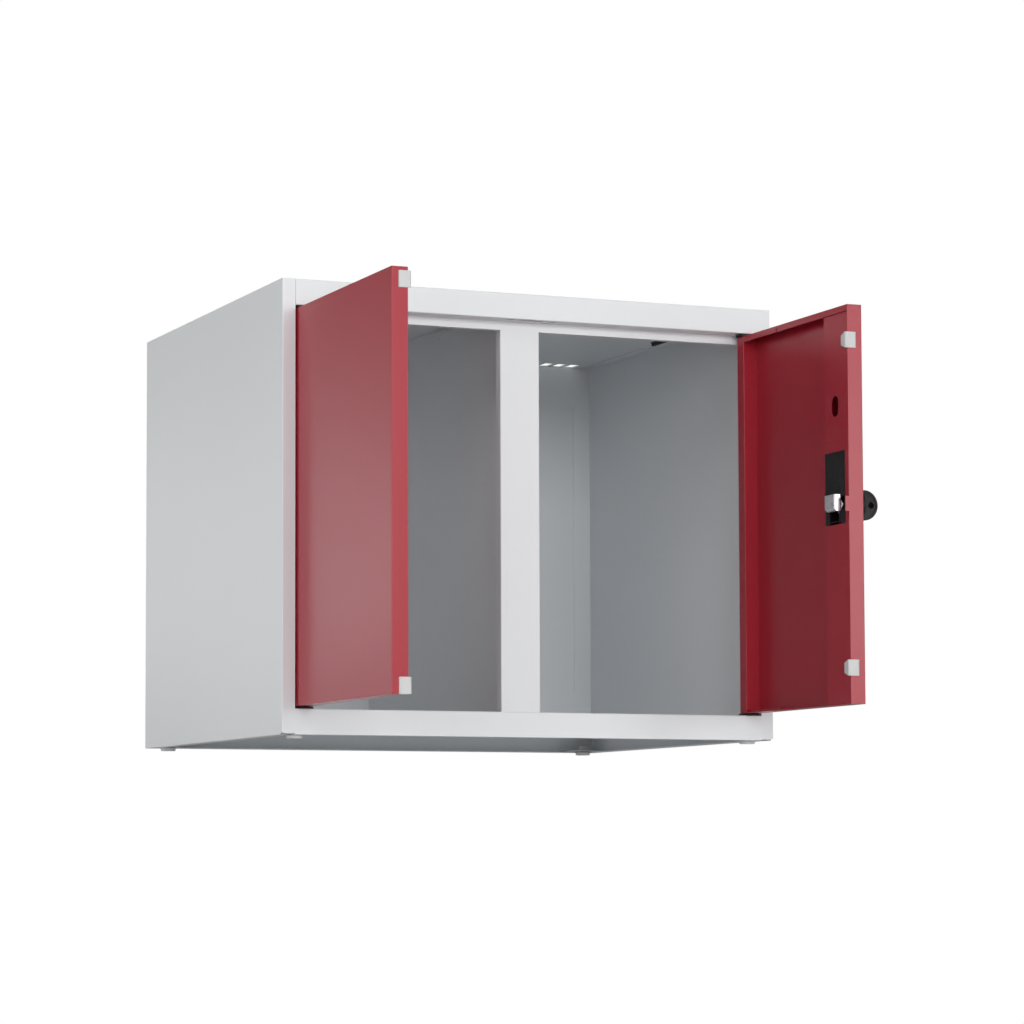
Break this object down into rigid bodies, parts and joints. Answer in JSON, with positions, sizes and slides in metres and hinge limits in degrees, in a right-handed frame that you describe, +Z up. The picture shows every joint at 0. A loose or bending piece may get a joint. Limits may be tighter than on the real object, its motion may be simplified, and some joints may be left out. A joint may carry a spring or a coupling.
{
  "type": "locker top cabinet",
  "caption": "Sheet-steel locker top cabinet: a grey folded body with side-by-side compartments behind red pivot-hung doors, a turn-handle lock and a slotted vent row in the roof.",
  "frame": {"origin": "middle of the body's base, on the plane that the four feet stand on", "axes": "+Z up, -Y out of the front where the doors are, +X to the right seen from the front"},
  "size_m": [0.6145, 0.7846, 0.5035],
  "materials": {
    "body_paint": "semi-gloss light grey powder coat",
    "door_paint": "semi-gloss ruby red powder coat",
    "steel": "zinc-plated steel",
    "bolt_chrome": "polished nickel plate",
    "black_plastic": "fine-grained moulding",
    "buffer_plastic": "smooth pale moulding",
    "foot_plastic": "smooth pale grey moulding"
  },
  "bodies": {
    "carcass": {"back_panel": "body_paint", "centre_post": "body_paint", "floor_panel": "body_paint", "front_left_foot": "foot_plastic", "front_left_gusset": "steel", "front_right_foot": "foot_plastic", "front_right_gusset": "steel", "left_side_panel": "body_paint", "left_wall_hook": "black_plastic", "lower_left_bush": "black_plastic", "lower_right_bush": "black_plastic", "partition": "body_paint", "partition_hook": "black_plastic", "rear_left_foot": "foot_plastic", "rear_left_gusset": "steel", "rear_right_foot": "foot_plastic", "rear_right_gusset": "steel", "right_side_panel": "body_paint", "right_wall_hook": "black_plastic", "roof_panel": "body_paint", "upper_left_bush": "black_plastic", "upper_right_bush": "black_plastic"},
    "left_door": {"left_door_lower_buffer": "buffer_plastic", "left_door_lower_hinge_pin": "steel", "left_door_lower_hinge_plate": "door_paint", "left_door_pan": "door_paint", "left_door_rail": "door_paint", "left_door_upper_buffer": "buffer_plastic", "left_door_upper_hinge_pin": "steel", "left_door_upper_hinge_plate": "door_paint"},
    "right_door": {"right_door_handle_rosette": "black_plastic", "right_door_lock_case": "black_plastic", "right_door_lower_buffer": "buffer_plastic", "right_door_lower_hinge_pin": "steel", "right_door_lower_hinge_plate": "door_paint", "right_door_pan": "door_paint", "right_door_rail": "door_paint", "right_door_upper_buffer": "buffer_plastic", "right_door_upper_hinge_pin": "steel", "right_door_upper_hinge_plate": "door_paint"},
    "handle": {"right_door_drive_crank": "steel", "right_door_handle_spindle": "steel", "right_door_turn_handle": "black_plastic"},
    "latch_bolt": {"right_door_latch_bolt": "bolt_chrome"}
  },
  "joints": [
    {"name": "left_door_hinge", "type": "hinge", "parent": "carcass", "child": "left_door", "pos_m": [-0.2745, -0.2415, 0.25], "axis": [0, 0, -1], "range_deg": [-90, 8]},
    {"name": "right_door_hinge", "type": "hinge", "parent": "carcass", "child": "right_door", "pos_m": [0.2745, -0.2415, 0.25], "axis": [0, 0, 1], "range_deg": [-90, 8]},
    {"name": "handle_turn", "type": "hinge", "parent": "right_door", "child": "handle", "pos_m": [0.29, -0.4645, 0.254], "axis": [1, 0, 0], "range_deg": [0, 90]},
    {"name": "bolt_slide", "type": "slide", "parent": "right_door", "child": "latch_bolt", "axis": [0, -1, 0], "range_m": [0, 0.018]}
  ],
  "couplings": [
    {"joint": "bolt_slide", "follows": "handle_turn", "m_per_rad": 0.01145}
  ]
}
